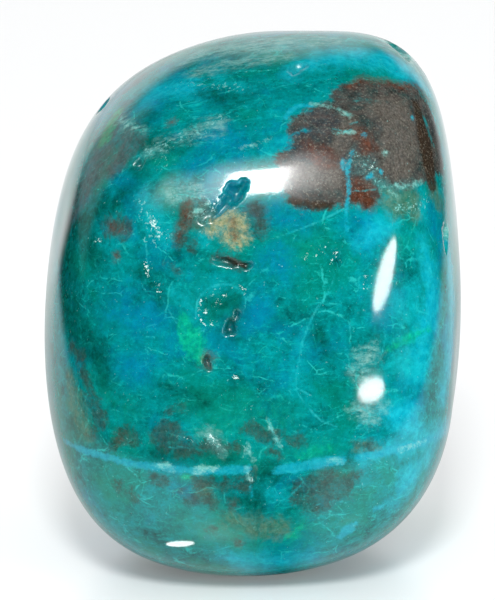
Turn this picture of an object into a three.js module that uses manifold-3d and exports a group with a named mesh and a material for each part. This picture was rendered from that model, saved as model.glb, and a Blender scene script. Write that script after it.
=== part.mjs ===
// A tumbled and polished chrysocolla stone, standing on the small flat that is worn under it.
// Millimetres, +Z up. Its brown-patched side with the long vug faces -Y.
// The origin is on the resting flat, straight under the middle of the stone.

import * as THREE from "three";
import { mergeVertices } from "three/addons/utils/BufferGeometryUtils.js";
import Module from "manifold-3d";

// A place on the stone is a direction from its middle, in degrees: azimuth 0 is -Y, 90 is +X and 180 is +Y,
// and elevation is measured up from level.

// Height of the stone's middle above the flat that it rests on
const middleHeight = 16.5;

// How crisply the worn faces meet: 2 would give an egg, 20 a cut block
const edgeCrispness = 6;

// The faces that the tumbling has worn: the way each one looks, and its distance from the middle
const wornFaces = [
  { face: "front", azimuth: 0, elevation: 10, distance: 11.0 },
  { face: "front slope", azimuth: -6, elevation: 60, distance: 14.2 },
  { face: "left front edge", azimuth: -50, elevation: 10, distance: 14.0 },
  { face: "right front edge", azimuth: 48, elevation: 10, distance: 14.1 },
  { face: "under front", azimuth: 0, elevation: -40, distance: 19.4 },
  { face: "left", azimuth: -92, elevation: 4, distance: 13.3 },
  { face: "left shoulder", azimuth: -95, elevation: 40, distance: 16.4 },
  { face: "left brow", azimuth: -95, elevation: 65, distance: 18.5 },
  { face: "under left", azimuth: -90, elevation: -38, distance: 17.1 },
  { face: "right", azimuth: 90, elevation: 4, distance: 13.3 },
  { face: "right shoulder", azimuth: 95, elevation: 40, distance: 22.5 },
  { face: "right brow", azimuth: 120, elevation: 65, distance: 23.2 },
  { face: "under right", azimuth: 85, elevation: -40, distance: 17.2 },
  { face: "back", azimuth: 180, elevation: 0, distance: 11.5 },
  { face: "back slope", azimuth: 175, elevation: 42, distance: 18.5 },
  { face: "under back", azimuth: 180, elevation: -42, distance: 17.0 },
  { face: "crown", azimuth: -110, elevation: 82, distance: 19.5 },
  { face: "base", azimuth: 180, elevation: -88, distance: 17.6 },
];

// Shallow hollows, where softer stone has worn faster
const hollows = [
  { azimuth: 152, elevation: 18, width: 9.0, depth: 0.4 },
  { azimuth: -158, elevation: -20, width: 8.0, depth: 0.35 },
  { azimuth: -84, elevation: 22, width: 6.0, depth: 0.22 },
  { azimuth: 86, elevation: -20, width: 7.0, depth: 0.25 },
  { azimuth: 150, elevation: 62, width: 6.0, depth: 0.3 },
  { azimuth: -30, elevation: 72, width: 5.0, depth: 0.15 },
];

// Pits that the wear has opened, each half of an ellipsoid. Its length stands upright on the surface,
// and turn leans it clockwise, as seen from outside.
const pits = [
  { pit: "long vug, head", azimuth: -6, elevation: 44, length: 1.7, width: 1.15, depth: 0.75, turn: 30 },
  { pit: "long vug, tail", azimuth: -10.5, elevation: 40, length: 2.2, width: 0.75, depth: 0.55, turn: 38 },
  { pit: "vug's drusy edge", azimuth: -16, elevation: 37, length: 1.5, width: 0.8, depth: 0.25, turn: 60 },
  { pit: "drop pocket, top", azimuth: -5, elevation: 7, length: 0.9, width: 0.4, depth: 0.35, turn: 25 },
  { pit: "drop pocket, foot", azimuth: -7, elevation: 3, length: 1.0, width: 0.75, depth: 0.5, turn: 15 },
  { pit: "red hole", azimuth: -14, elevation: -7, length: 0.95, width: 0.5, depth: 0.6, turn: -8 },
  { pit: "brown pocket", azimuth: -9, elevation: 24, length: 0.55, width: 1.5, depth: 0.4, turn: 10 },
  { pit: "green pocket", azimuth: -2, elevation: 23, length: 0.5, width: 0.8, depth: 0.35, turn: 0 },
  { pit: "left shoulder pit", azimuth: -46, elevation: 46, length: 0.9, width: 0.6, depth: 0.35, turn: 10 },
  { pit: "knot below vein", azimuth: 0, elevation: -34, length: 0.9, width: 0.45, depth: 0.3, turn: 5 },
  { pit: "shoulder chip", azimuth: 110, elevation: 56, length: 1.5, width: 2.6, depth: 0.35, turn: -20 },
  { pit: "lower shoulder chip", azimuth: 112, elevation: 49, length: 1.3, width: 1.5, depth: 0.25, turn: 10 },
  { pit: "right pit", azimuth: 72, elevation: 20, length: 1.6, width: 0.9, depth: 0.45, turn: 25 },
  { pit: "low right pit", azimuth: 104, elevation: -24, length: 1.2, width: 1.7, depth: 0.4, turn: -15 },
  { pit: "back vug", azimuth: 168, elevation: 30, length: 3.0, width: 1.3, depth: 0.8, turn: -35 },
  { pit: "back vug, end", azimuth: 161, elevation: 37, length: 1.6, width: 0.8, depth: 0.5, turn: -50 },
  { pit: "back pocket", azimuth: -172, elevation: -12, length: 1.1, width: 1.8, depth: 0.5, turn: 20 },
  { pit: "back chip", azimuth: -140, elevation: 8, length: 2.4, width: 1.6, depth: 0.35, turn: 15 },
  { pit: "low back pit", azimuth: 150, elevation: -34, length: 1.3, width: 0.9, depth: 0.4, turn: 40 },
  { pit: "left pit", azimuth: -98, elevation: -6, length: 1.8, width: 1.0, depth: 0.5, turn: 20 },
  { pit: "high left pit", azimuth: -112, elevation: 48, length: 1.0, width: 1.5, depth: 0.4, turn: 0 },
  { pit: "crown pit", azimuth: 60, elevation: 78, length: 1.4, width: 0.8, depth: 0.4, turn: 30 },
];

// How far a pit's rim strays from a true ellipse, as a share of its width
const rimStray = 0.15;

// How finely the stone and the pits are faceted
const stoneDetail = 16;
const pitDetail = 2;

// A unit vector towards a place on the stone
function directionTo({ azimuth, elevation }) {
  const turned = THREE.MathUtils.degToRad(azimuth);
  const raised = THREE.MathUtils.degToRad(elevation);
  return new THREE.Vector3(
    Math.sin(turned) * Math.cos(raised),
    -Math.cos(turned) * Math.cos(raised),
    Math.sin(raised),
  );
}

for (const worn of wornFaces) worn.outward = directionTo(worn);

// How much of a worn face's distance one millimetre in a direction uses up
function share(worn, direction) {
  return Math.max(0, worn.outward.dot(direction)) / worn.distance;
}

// The rounded block that the worn faces leave: the point of its surface in a direction from the middle
function blockPoint(direction) {
  const shares = wornFaces.map((worn) => share(worn, direction) ** edgeCrispness);
  const total = shares.reduce((sum, one) => sum + one, 0);
  return direction.clone().multiplyScalar(total ** (-1 / edgeCrispness));
}

// Which way the block's surface faces there
function blockNormal(direction) {
  const normal = new THREE.Vector3();
  for (const worn of wornFaces) {
    normal.addScaledVector(worn.outward, share(worn, direction) ** (edgeCrispness - 1) / worn.distance);
  }
  return normal.normalize();
}

for (const hollow of hollows) hollow.middle = blockPoint(directionTo(hollow));

// The stone's surface in a direction: the block, sunk by the hollows and cut level at the resting flat
function surfacePoint(direction) {
  const point = blockPoint(direction);
  const start = point.clone();
  for (const hollow of hollows) {
    const away = start.distanceTo(hollow.middle) / (hollow.width / 2);
    point.addScaledVector(direction, -hollow.depth * Math.exp(-away * away));
  }
  point.z = Math.max(point.z, -middleHeight);
  return point;
}

// A ball of even triangles, pushed out or in to the surface
function stoneGeometry() {
  const geometry = new THREE.IcosahedronGeometry(1, stoneDetail);
  const places = geometry.attributes.position;
  for (let i = 0; i < places.count; i += 1) {
    const point = surfacePoint(new THREE.Vector3().fromBufferAttribute(places, i).normalize());
    places.setXYZ(i, point.x, point.y, point.z);
  }
  return geometry;
}

// What a pit takes out of the stone: an ellipsoid with its middle on the surface and three slight lobes
function pitGeometry(pit) {
  const direction = directionTo(pit);
  const outward = blockNormal(direction);
  const across = new THREE.Vector3(0, 0, 1).cross(outward).normalize();
  const upright = outward.clone().cross(across);
  const geometry = new THREE.IcosahedronGeometry(1, pitDetail);
  const places = geometry.attributes.position;
  for (let i = 0; i < places.count; i += 1) {
    const around = Math.atan2(places.getY(i), places.getX(i));
    const swell = 1 + rimStray * Math.sin(3 * around + pit.turn) * Math.hypot(places.getX(i), places.getY(i));
    places.setXYZ(i, places.getX(i) * swell, places.getY(i) * swell, places.getZ(i));
  }
  geometry.scale(pit.width / 2, pit.length / 2, pit.depth);
  geometry.rotateZ(-THREE.MathUtils.degToRad(pit.turn));
  geometry.applyMatrix4(new THREE.Matrix4().makeBasis(across, upright, outward));
  const middle = surfacePoint(direction);
  return geometry.translate(middle.x, middle.y, middle.z);
}

const wasm = await Module();
wasm.setup();

// A closed geometry as a solid that can be cut
function solidFrom(geometry) {
  geometry.deleteAttribute("normal");
  geometry.deleteAttribute("uv");
  const merged = mergeVertices(geometry, 1e-4);
  return new wasm.Manifold(new wasm.Mesh({
    numProp: 3,
    vertProperties: new Float32Array(merged.attributes.position.array),
    triVerts: new Uint32Array(merged.index.array),
  }));
}

// A solid as a geometry again
function geometryFrom(solid) {
  const { vertProperties, triVerts } = solid.getMesh();
  const geometry = new THREE.BufferGeometry();
  geometry.setAttribute("position", new THREE.BufferAttribute(vertProperties, 3));
  geometry.setIndex(new THREE.BufferAttribute(triVerts, 1));
  geometry.computeVertexNormals();
  return geometry;
}

// The stone, one solid with its pits cut into it
function chrysocollaStone() {
  let solid = solidFrom(stoneGeometry());
  for (const pit of pits) solid = solid.subtract(solidFrom(pitGeometry(pit)));
  const polishedStone = new THREE.MeshStandardMaterial({ color: 0x0b8a8c, roughness: 0.15, metalness: 0 });
  const stone = new THREE.Mesh(geometryFrom(solid), polishedStone);
  stone.name = "chrysocolla_stone";
  stone.position.z = middleHeight;
  return stone;
}

const group = new THREE.Group();
group.add(chrysocollaStone());

export default group;
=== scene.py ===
# A tumbled and polished chrysocolla stone on a plain pale floor.
# The stone is worked out in millimetres from its own middle, and its finished mesh is in metres.

import math
import bmesh
import bpy
import numpy as np
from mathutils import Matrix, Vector, noise
from mathutils.bvhtree import BVHTree


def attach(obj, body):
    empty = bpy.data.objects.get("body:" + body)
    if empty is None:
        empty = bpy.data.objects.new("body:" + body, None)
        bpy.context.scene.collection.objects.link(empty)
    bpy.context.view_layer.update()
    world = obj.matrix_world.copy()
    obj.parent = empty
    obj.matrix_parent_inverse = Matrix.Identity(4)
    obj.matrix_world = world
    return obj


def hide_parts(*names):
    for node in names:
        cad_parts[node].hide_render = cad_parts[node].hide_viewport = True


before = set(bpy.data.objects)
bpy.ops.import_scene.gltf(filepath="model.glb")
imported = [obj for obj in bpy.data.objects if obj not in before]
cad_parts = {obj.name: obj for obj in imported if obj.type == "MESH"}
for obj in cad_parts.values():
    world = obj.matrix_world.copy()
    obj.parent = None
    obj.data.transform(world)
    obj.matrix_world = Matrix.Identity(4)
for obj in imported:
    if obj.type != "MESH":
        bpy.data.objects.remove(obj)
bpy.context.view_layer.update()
mm = 0.001  # metres in a millimetre


# A place on the stone as a direction from its middle: azimuth 0 is -Y, 90 is +X
def towards(azimuth, elevation):
    turned, raised = math.radians(azimuth), math.radians(elevation)
    level = math.cos(raised)
    return Vector((math.sin(turned) * level, -math.cos(turned) * level, math.sin(raised)))


# An sRGB hex colour as the linear colour that a shader wants
def linear(hexColour):
    channels = [int(hexColour[i:i + 2], 16) / 255 for i in (1, 3, 5)]
    return tuple(c / 12.92 if c <= 0.04045 else ((c + 0.055) / 1.055) ** 2.4 for c in channels) + (1.0,)


# One shader node with its settings; a value that is a socket is linked, any other is set
def add(tree, kind, values={}, **settings):
    made = tree.nodes.new("ShaderNode" + kind)
    for name, setting in settings.items():
        setattr(made, name, setting)
    for socket, value in values.items():
        if isinstance(value, bpy.types.NodeSocket):
            tree.links.new(value, made.inputs[socket])
        else:
            made.inputs[socket].default_value = value
    return made


# How the photograph was taken, pixels counted in its 495 x 600 frame
shot = {
    "frame": (495, 600),
    "elevation": 15,  # degrees above level
    "distance": 300,  # mm from the stone's middle
    "lens": 288,  # mm, on a 36 mm sensor along the tall side
    "sensor": 36,
    "middlePixel": (252, 291.5),  # where the stone's middle shows
    "clipStart": 0.01,  # metres from the camera that it starts to see
}
back = towards(0, shot["elevation"])  # from the stone to the camera
right = Vector((1, 0, 0))
up = back.cross(right)
pixelsPerMm = shot["frame"][1] * shot["lens"] / shot["sensor"] / shot["distance"]
halfWide, halfTall = shot["frame"][0] / 2, shot["frame"][1] / 2
aim = (right * (halfWide - shot["middlePixel"][0]) + up * (shot["middlePixel"][1] - halfTall)) / pixelsPerMm
eye = aim + back * shot["distance"]

# The stone's form
stone = {
    "middleHeight": 16.5,  # of the stone's middle above its resting flat, mm
    "edgeCrispness": 6,  # 2 would give an egg, 20 a cut block
    "gridCuts": 125,  # across each side of the cube that the stone is blown up from
    "frontLean": 0.3,  # how far the grid is crowded towards the front, which is looked at most closely
    "rimStray": 0.15,  # how far a pit's rim strays from an ellipse, as a share of its width
    "rimLobes": 3,  # slow bulges around a rim
    "rimCrumble": 0.34,  # how far small breaks make it stray, as a share of its width
    "rimBreaks": 3.1,  # of those small breaks in a mm
    "pitBowl": 0.75,  # how roundly a pit's walls fall: 0.5 is an ellipsoid, 1 a shallow dish
    "pitReach": 0.8,  # how far from a pit's middle it is worked out, as a share of its longer side
    "farOut": -1.0,  # mm, what a point far from every pit is said to be inside one
    "swell": 0.012,  # how far tumbling has left the polish from true, mm
    "swellSpan": 3.2,  # mm from swell to swell
}

# The faces that the tumbling has worn: azimuth, elevation and distance from the middle in mm
wornFaces = {
    "front": (0, 10, 11.0),
    "front slope": (-6, 60, 14.2),
    "left front edge": (-50, 10, 14.0),
    "right front edge": (48, 10, 14.1),
    "under front": (0, -40, 19.4),
    "left": (-92, 4, 13.3),
    "left shoulder": (-95, 40, 16.4),
    "left brow": (-95, 65, 18.5),
    "under left": (-90, -38, 17.1),
    "right": (90, 4, 13.3),
    "right shoulder": (95, 40, 22.5),
    "right brow": (120, 65, 23.2),
    "under right": (85, -40, 17.2),
    "back": (180, 0, 11.5),
    "back slope": (175, 42, 18.5),
    "under back": (180, -42, 17.0),
    "crown": (-110, 82, 19.5),
    "base": (180, -88, 17.6),
}

# Shallow hollows where softer stone has worn faster: azimuth, elevation, width and depth in mm
hollows = [(152, 18, 9.0, 0.4), (-158, -20, 8.0, 0.35), (-84, 22, 6.0, 0.22),
           (86, -20, 7.0, 0.25), (150, 62, 6.0, 0.3), (-30, 72, 5.0, 0.15)]

# Open pits: azimuth, elevation, length, width and depth in mm, and how far the length leans clockwise
pits = {
    "long vug, head": (-6, 44, 1.7, 1.15, 0.75, 30),
    "long vug, tail": (-10.5, 40, 2.2, 0.75, 0.55, 38),
    "vug's drusy edge": (-16, 37, 1.5, 0.8, 0.25, 60),
    "drop pocket, top": (-5, 7, 0.9, 0.4, 0.35, 25),
    "drop pocket, foot": (-7, 3, 1.0, 0.75, 0.5, 15),
    "red hole": (-14, -7, 0.95, 0.5, 0.6, -8),
    "brown pocket": (-9, 24, 0.55, 1.5, 0.4, 10),
    "green pocket": (-2, 23, 0.5, 0.8, 0.35, 0),
    "left shoulder pit": (-46, 46, 0.9, 0.6, 0.35, 10),
    "knot below vein": (0, -34, 0.9, 0.45, 0.3, 5),
    "shoulder chip": (110, 56, 1.5, 2.6, 0.35, -20),
    "lower shoulder chip": (112, 49, 1.3, 1.5, 0.25, 10),
    "right pit": (72, 20, 1.6, 0.9, 0.45, 25),
    "low right pit": (104, -24, 1.2, 1.7, 0.4, -15),
    "back vug": (168, 30, 3.0, 1.3, 0.8, -35),
    "back vug, end": (161, 37, 1.6, 0.8, 0.5, -50),
    "back pocket": (-172, -12, 1.1, 1.8, 0.5, 20),
    "back chip": (-140, 8, 2.4, 1.6, 0.35, 15),
    "low back pit": (150, -34, 1.3, 0.9, 0.4, 40),
    "left pit": (-98, -6, 1.8, 1.0, 0.5, 20),
    "high left pit": (-112, 48, 1.0, 1.5, 0.4, 0),
    "crown pit": (60, 78, 1.4, 0.8, 0.4, 30),
}

outwards = np.array([towards(azimuth, elevation) for azimuth, elevation, distance in wornFaces.values()])
distances = np.array([distance for azimuth, elevation, distance in wornFaces.values()])
crispness = stone["edgeCrispness"]


# The rounded block that the worn faces leave, in some directions from its middle
def blockPoints(directions):
    shares = np.maximum(directions @ outwards.T, 0) / distances
    return directions * ((shares ** crispness).sum(axis=1) ** (-1 / crispness))[:, None]


# Which way its surface faces there
def blockNormals(directions):
    shares = np.maximum(directions @ outwards.T, 0) / distances
    normals = (shares ** (crispness - 1) / distances) @ outwards
    return normals / np.linalg.norm(normals, axis=1)[:, None]


# One point of it
def onBlock(azimuth, elevation):
    return blockPoints(np.array([towards(azimuth, elevation)]))[0]


# The block with its hollows, swells and pits. Also how far inside a pit's rim each point is, in mm
def wornPoints(directions):
    points, normals = blockPoints(directions), blockNormals(directions)
    start = points.copy()
    for azimuth, elevation, width, depth in hollows:
        away = np.linalg.norm(start - onBlock(azimuth, elevation), axis=1) / (width / 2)
        points -= directions * (depth * np.exp(-away ** 2))[:, None]
    swells = np.array([noise.noise(Vector(p) / stone["swellSpan"]) for p in points])
    points += normals * (stone["swell"] * swells)[:, None]
    inPit = np.full(len(points), stone["farOut"])
    start = points.copy()
    for azimuth, elevation, length, width, depth, turn in pits.values():
        direction = np.array([towards(azimuth, elevation)])
        outward = blockNormals(direction)[0]
        across = np.cross((0, 0, 1), outward)
        across /= np.linalg.norm(across)
        upright = np.cross(outward, across)
        middle = start[np.argmax(directions @ direction[0])]
        reach = stone["pitReach"] * max(length, width)
        near = np.where(np.linalg.norm(start - middle, axis=1) < reach)[0]
        lean = math.radians(turn)
        away = start[near] - middle
        along = away @ (upright * math.cos(lean) + across * math.sin(lean)) / (length / 2)
        aside = away @ (across * math.cos(lean) - upright * math.sin(lean)) / (width / 2)
        breaks = np.array([noise.noise(Vector(p) * stone["rimBreaks"]) for p in start[near]])
        lobes = np.sin(stone["rimLobes"] * np.arctan2(along, aside) + turn)
        reach = np.hypot(along, aside) / (1 + stone["rimStray"] * lobes + stone["rimCrumble"] * breaks)
        sunk = depth * np.maximum(1 - reach ** 2, 0) ** stone["pitBowl"]
        sunk = np.minimum((points[near] - start[near]) @ outward, -sunk)
        points[near] = start[near] + sunk[:, None] * outward
        inPit[near] = np.maximum(inPit[near], (1 - reach) * min(length, width) / 2)
    points[:, 2] = np.maximum(points[:, 2], -stone["middleHeight"])
    return points, inPit


# A cube cut into a fine grid and blown up to the worn form, in mm
form = bmesh.new()
bmesh.ops.create_cube(form, size=2)
bmesh.ops.subdivide_edges(form, edges=form.edges[:], cuts=stone["gridCuts"], use_grid_fill=True)
gridPlaces = np.tan(np.array([v.co for v in form.verts]) * math.pi / 4)  # evens out the grid's cells
directions = gridPlaces / np.linalg.norm(gridPlaces, axis=1)[:, None] + (0, -stone["frontLean"], 0)
directions /= np.linalg.norm(directions, axis=1)[:, None]
points, inPit = wornPoints(directions)
for vertex, point in zip(form.verts, points):
    vertex.co = point
bmesh.ops.recalc_face_normals(form, faces=form.faces[:])
for face in form.faces:
    face.smooth = True
surface = BVHTree.FromBMesh(form)
print("stone:", len(form.verts), "points")


# Where a pixel of the photograph falls on the stone
def seenAt(x, y):
    target = aim + (right * (x - halfWide) + up * (halfTall - y)) / pixelsPerMm
    hit = surface.ray_cast(eye, (target - eye).normalized())[0]
    if hit is None:
        hit = surface.find_nearest(eye + (target - eye).normalized() * shot["distance"])[0]
    return hit


# What shows on the stone, by mineral and place: strokes through pixels of the photograph, each with the
# stroke's width there in mm
seenMarks = {
    "brown": {
        "brow": [
            [(340, 97, 1), (362, 90, 1.7), (392, 93, 1.7), (418, 100, 1.8), (430, 118, 1.7), (436, 140, 1.6),
             (440, 164, 1.3)],
        ],
        "crest": [[(292, 126, 0.9), (318, 118, 1.8), (350, 118, 3), (385, 130, 4.4), (412, 135, 4.4)]],
        "body": [[(306, 142, 1.7), (345, 146, 3.6), (385, 152, 4.2), (418, 154, 3.6), (436, 160, 1.8)]],
        "waist": [[(286, 160, 1.2), (310, 162, 2), (336, 166, 2.4), (360, 172, 2.4)]],
        "foot": [[(292, 178, 2), (318, 186, 2.8), (345, 188, 2.2), (368, 190, 1.6)]],
        "sole": [[(296, 199, 0.8), (324, 203, 0.8), (346, 197, 0.8), (370, 200, 0.8)]],
    },
    "jade": {
        "mid low": [[(196, 404, 1.6), (222, 412, 2.6), (250, 412, 2.6), (284, 424, 2)]],
        "under the highlight": [[(284, 240, 1), (300, 250, 1.6), (318, 240, 1)]],
        "bowl": [[(202, 296, 1.2), (214, 306, 1.6), (226, 300, 1.2)]],
        "right, high": [[(404, 244, 1.2), (416, 240, 1.4), (422, 252, 1)]],
        "left, high": [[(152, 164, 0.8), (162, 160, 0.9)]],
        "over the vein": [
            [(150, 446, 0.8), (190, 456, 0.8), (232, 456, 0.6), (300, 450, 1), (330, 444, 0.8)],
        ],
        "bottom": [[(180, 520, 1.6), (216, 534, 2.2), (262, 540, 2.6), (300, 530, 2.2)]],
        "low left": [[(96, 480, 1.4), (112, 500, 1.6)]],
        "left low": [[(94, 380, 1), (106, 396, 1.6), (122, 408, 1.4)]],
    },
    "sky": {
        "top right": [
            [(290, 76, 0.9), (306, 66, 1.4), (334, 58, 1.9), (360, 58, 2), (386, 62, 2.2), (408, 72, 1.8),
             (426, 88, 1.2)],
        ],
        "top left": [[(148, 102, 1), (160, 90, 2), (178, 88, 2.2), (196, 92, 1.4)]],
        "right flank": [
            [(424, 250, 0.9), (430, 276, 1.8), (430, 306, 2.2), (422, 340, 1.8), (416, 372, 1.8)],
        ],
        "low right": [[(388, 412, 1.2), (404, 418, 2.2), (416, 430, 1.8)]],
        "right rim": [[(448, 250, 1.2), (452, 300, 1.6), (450, 350, 1.6), (444, 392, 1.4)]],
        "low right rim": [[(428, 452, 1.2), (412, 478, 1.6), (396, 500, 1.2)]],
        "by the vein": [[(352, 459, 0.65), (380, 452, 0.8), (408, 446, 0.9), (434, 436, 1), (456, 424, 1)]],
        "between": [[(382, 226, 0.7), (370, 240, 0.9)]],
        "bottom": [[(230, 558, 0.9), (270, 562, 1.1), (310, 558, 1)]],
    },
    "mauve": {
        # The grey on the left shoulder, its brow and behind the brow is painted reflection: the pale veil
        # that this side mirrors, laid on as grey stone
        "left shoulder": [
            [(126, 104, 1), (114, 122, 1.8), (104, 146, 2.6), (92, 172, 2.8), (78, 198, 2.4), (66, 226, 1.7),
             (60, 248, 1)],
        ],
        "left brow": [[(142, 76, 0.7), (130, 88, 1)]],
        "behind the brow": [[(130, 134, 1.3), (124, 150, 1.6), (112, 166, 1.2)]],
        "right foot of the vug": [[(256, 214, 0.8), (260, 226, 0.6)]],
    },
    "haze": {
        "beside the vug": [[(188, 202, 1.1), (186, 220, 1.1)]],
        "above the tan": [[(205, 203, 0.6), (196, 212, 0.8)]],
        "tan's right edge": [[(258, 212, 0.7), (262, 224, 0.6), (258, 234, 0.5)]],
        "spots": [
            [(180, 238, 0.9)], [(123, 238, 0.6)], [(111, 226, 1.4), (125, 231, 1.2)], [(116, 256, 0.5)],
            [(172, 268, 0.7), (180, 274, 0.5)], [(216, 257, 0.55), (234, 262, 0.75), (240, 266, 0.4)],
            [(193, 247, 0.5)], [(234, 504, 0.32)], [(239, 543, 0.42)],
        ],
        "low left": [
            [(82, 372, 0.8), (90, 392, 1.1), (98, 416, 1.2), (92, 436, 0.8)],
            [(72, 345, 0.7), (80, 356, 0.7)],
        ],
        "over the vein": [
            [(114, 444, 1.1), (126, 434, 1.3), (134, 440, 0.8)],
            [(158, 434, 1.1), (172, 430, 1.2), (180, 438, 0.8)],
            [(165, 449, 0.8), (188, 450, 1), (198, 452, 0.7)], [(200, 446, 0.8), (212, 446, 0.8)],
            [(228, 449, 0.35), (240, 449, 0.4)], [(250, 428, 0.8), (262, 436, 1), (276, 434, 0.8)],
            [(290, 444, 0.6), (299, 441, 0.6)], [(270, 452, 0.6), (280, 456, 0.6)],
            [(356, 446, 0.5), (368, 445, 0.6)],
        ],
        "speckles": [[(180, 410, 0.6), (184, 406, 0.5)], [(170, 411, 0.4)]],
        "under the vein": [
            [(154, 478, 0.8), (162, 481, 0.8)], [(178, 478, 0.45)], [(195, 481, 0.6), (210, 482, 0.6)],
            [(216, 486, 0.45), (232, 487, 0.6), (246, 486, 0.6)], [(228, 479, 0.5), (244, 477, 0.5)],
            [(180, 490, 0.5)], [(118, 484, 0.5)], [(131, 488, 0.5), (132, 498, 0.4)],
            [(190, 500, 0.7), (204, 497, 0.7), (212, 504, 0.5)], [(206, 530, 0.3), (217, 527, 0.35)],
        ],
        "big low patch": [
            [(296, 482, 0.6), (306, 486, 1.5), (322, 490, 2.2), (340, 486, 1.9), (352, 478, 1)],
            [(300, 502, 0.8), (312, 507, 1), (324, 504, 0.8)],
        ],
    },
    "ash": {
        "core": [[(378, 108, 1.4), (396, 112, 2.6), (400, 138, 2.9), (398, 158, 2.6), (392, 168, 1.6)]],
        "mottled column": [[(350, 118, 0.9), (346, 134, 1.2), (338, 150, 1)]],
        "knob": [[(386, 155, 0.4)]],
        # Painted highlight: the grey under the highlight's right end is its glow, painted over the brown
        "under the highlight": [[(300, 172, 1.4), (330, 178, 1.6)]],
    },
    "umber": {
        "strip": [[(417, 106, 0.7), (422, 128, 1.2), (427, 152, 1.6), (432, 182, 1.4)]],
        "brown pocket": [[(222, 258, 0.3), (234, 262, 0.5), (244, 266, 0.4)]],
        "sole": [[(292, 200, 0.5), (310, 205, 0.6), (330, 206, 0.5)]],
        "heart": [[(354, 198, 0.6), (362, 192, 0.5), (368, 202, 0.7)]],
    },
    "rust": {
        "rim": [
            [(350, 86, 0.6), (366, 80, 0.7), (388, 83, 0.6), (404, 87, 0.5), (414, 84, 0.5), (426, 96, 0.5)],
        ],
        "left": [[(308, 148, 0.8), (326, 158, 1.3), (320, 164, 0.8)]],
        "heart": [[(354, 186, 0.9), (362, 192, 1.5), (370, 200, 1.1)]],
        "middle": [[(360, 134, 0.8), (368, 146, 1), (362, 152, 0.7)]],
        "tan's heart": [[(233, 221, 0.3), (236, 238, 0.3)]],
        "red hole": [[(208, 358, 1), (208, 363, 1)]],
        "red spot": [[(116, 257, 0.4)]],
        "beside the vug": [[(189, 204, 0.45), (186, 219, 0.5), (178, 237, 0.4)]],
        "left specks": [[(110, 226, 0.5), (124, 231, 0.45)]],
        "brick spots": [[(234, 504, 0.3)], [(239, 543, 0.35)], [(172, 123, 0.25)]],
        "over the vein": [[(122, 440, 0.5)]],
    },
    "moss": {
        "left edge": [
            [(66, 238, 2), (66, 265, 2.8), (67, 295, 2.8), (74, 325, 2.3), (86, 345, 1.8), (100, 364, 1.4),
             (108, 380, 0.8)],
        ],
        "left arc": [[(76, 230, 1.7), (94, 213, 1.7), (113, 202, 1.6), (128, 190, 1.2)]],
        "behind": [[(89, 247, 1.4), (97, 260, 1.2)]],
        "upright mark": [[(137, 162, 0.4), (138, 172, 0.5), (137, 181, 0.3)]],
        "high left": [[(142, 146, 1), (158, 143, 1.2), (172, 150, 0.8)]],
        "top": [[(204, 94, 1), (224, 100, 1.3), (246, 96, 1)]],
        "top left": [[(150, 116, 0.8), (146, 124, 0.8)]],
        "drop pocket": [[(236, 310, 0.9), (232, 322, 1.2), (229, 330, 1.2)]],
        "drusy bowl": [[(206, 300, 0.8), (218, 308, 1.2), (230, 300, 1), (238, 294, 0.7)]],
        "green pocket": [[(243, 267, 0.8)]],
        "right middle": [[(320, 336, 0.8), (326, 352, 0.8)]],
        "specks": [[(160, 384, 0.3), (200, 396, 0.4), (196, 408, 0.3), (232, 386, 0.3)]],
        "vein gaps": [[(256, 474, 0.9), (268, 472, 1)], [(350, 461, 0.7)], [(262, 479, 0.5)]],
        "dark crack": [[(144, 268, 0.7), (152, 282, 0.6), (160, 298, 0.5)]],
        "low left": [[(70, 420, 1), (78, 436, 0.9)]],
        "over the vein": [[(184, 456, 0.9), (150, 452, 0.6), (232, 458, 0.8)]],
        "low": [[(236, 500, 1), (255, 505, 1.2)]],
        "under right": [[(380, 170, 0.3)]],
    },
    "leaf": {
        "green patch": [[(185, 320, 0.6), (188, 334, 1.3), (194, 347, 1.4), (200, 357, 0.7)]],
        "mint patch": [[(117, 114, 0.8), (110, 126, 1.1), (104, 140, 0.9)]],
        "green line": [[(388, 349, 0.25), (406, 340, 0.3), (428, 329, 0.25)]],
        "low green": [[(292, 534, 0.5), (302, 524, 0.3)]],
        "low thread": [[(186, 476, 0.25)]],
        "by the vein": [[(300, 456, 0.2), (330, 446, 0.3)]],
    },
    "olive": {
        "mint patch": [[(117, 114, 0.5), (110, 126, 0.8), (104, 140, 0.7)]],
        "right": [
            [(386, 192, 1.1), (396, 202, 2), (410, 200, 1.7), (414, 212, 1)],
            [(434, 193, 1), (440, 203, 1.1)],
        ],
        "low": [[(232, 520, 1), (254, 526, 1.5), (280, 528, 1.3)]],
        "low left": [[(70, 380, 1.2), (76, 405, 1.4), (84, 430, 1.2)]],
        "over the vein": [[(360, 448, 0.7), (376, 450, 0.5)]],
        "beside the vein": [[(205, 490, 0.8)]],
        "vug's edge": [[(206, 212, 1), (198, 222, 0.8)]],
    },
    "azure": {
        "top left": [[(150, 100, 1.2), (160, 108, 1)]],
        "vug": [[(240, 184, 0.8), (230, 194, 0.8), (222, 204, 0.5)]],
        "left of the highlight": [[(216, 140, 2), (232, 144, 1.5)], [(194, 165, 1.4), (205, 158, 1)]],
        "left middle": [[(112, 312, 1.5), (122, 300, 1.7), (130, 318, 2), (150, 312, 1.6), (160, 320, 1.4)]],
        "left low": [[(126, 368, 1.5), (138, 372, 1.8)]],
        "between": [[(270, 210, 1.2), (284, 216, 1.4), (300, 222, 1)]],
        "middle": [[(264, 262, 1.4), (276, 262, 1.8), (284, 268, 1.2)]],
        "right of it": [[(258, 300, 1.2), (256, 316, 1.2)]],
        "right of vein": [[(358, 222, 1.4), (372, 230, 1.6), (364, 240, 1.2)]],
        "right edge": [[(430, 212, 1.2), (438, 232, 1.6), (440, 258, 1)], [(436, 290, 0.9), (432, 330, 0.8)]],
        "low right": [[(414, 404, 0.9), (408, 414, 0.8)]],
        "top right": [[(386, 52, 0.8), (396, 60, 0.8)]],
        "upper left": [[(118, 182, 1), (128, 186, 0.7)]],
    },
    "aqua": {
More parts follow.
